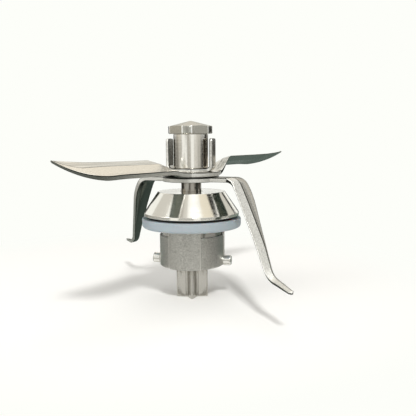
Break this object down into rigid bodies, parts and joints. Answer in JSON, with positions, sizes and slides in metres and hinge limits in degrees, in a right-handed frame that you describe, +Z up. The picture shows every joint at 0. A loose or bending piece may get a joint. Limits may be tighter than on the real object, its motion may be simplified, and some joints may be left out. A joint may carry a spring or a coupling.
{
  "type": "blender blade assembly",
  "caption": "Jar blender knife: raised upper wings and bent-down lower arms on a bearing spindle, over a polished cone, silicone ring, bayonet housing and lobed drive coupling.",
  "frame": {"origin": "centre of the foot of the drive coupling, where the part stands", "axes": "+Z up the shaft to the cap nut, +X out along the right bayonet pin"},
  "size_m": [0.0972, 0.1264, 0.0782],
  "materials": {
    "ground_blade_steel": "ground and tumbled stainless steel",
    "polished_steel": "mirror-polished stainless steel",
    "turned_steel": "fine-turned stainless steel",
    "cast_steel": "matte sintered stainless steel",
    "silicone": "matte blue-grey silicone",
    "black_rubber": "matte black rubber",
    "bearing_steel": "ground bearing steel",
    "cage_polymer": "natural moulded polyamide"
  },
  "bodies": {
    "housing": {"bearing_housing": "cast_steel", "bayonet_pin_right": "turned_steel", "bayonet_pin_left": "turned_steel", "cone_cover": "polished_steel", "sealing_ring": "silicone", "lip_seal": "black_rubber", "neck_o_ring": "black_rubber", "upper_outer_race": "bearing_steel", "lower_outer_race": "bearing_steel", "outer_spacer": "turned_steel", "wave_washer": "turned_steel"},
    "rotor": {"drive_shaft": "turned_steel", "drive_coupling": "turned_steel", "coupling_screw": "turned_steel", "lower_blade": "ground_blade_steel", "blade_spacer": "turned_steel", "upper_blade": "ground_blade_steel", "stirrup_bracket": "ground_blade_steel", "hub_sleeve": "polished_steel", "cap_nut": "turned_steel", "upper_inner_race": "bearing_steel", "lower_inner_race": "bearing_steel", "inner_spacer": "turned_steel"},
    "upper_ball_train": {"upper_balls": "bearing_steel", "upper_cage": "cage_polymer"},
    "lower_ball_train": {"lower_balls": "bearing_steel", "lower_cage": "cage_polymer"}
  },
  "joints": [
    {"name": "blade_spin", "type": "hinge", "parent": "housing", "child": "rotor", "pos_m": [0, 0, 0.026], "axis": [0, 0, 1], "continuous": true},
    {"name": "upper_ball_roll", "type": "hinge", "parent": "housing", "child": "upper_ball_train", "pos_m": [0, 0, 0.033], "axis": [0, 0, 1], "continuous": true},
    {"name": "lower_ball_roll", "type": "hinge", "parent": "housing", "child": "lower_ball_train", "pos_m": [0, 0, 0.0195], "axis": [0, 0, 1], "continuous": true}
  ],
  "couplings": [
    {"joint": "upper_ball_roll", "follows": "blade_spin", "ratio": 0.37},
    {"joint": "lower_ball_roll", "follows": "blade_spin", "ratio": 0.37}
  ]
}
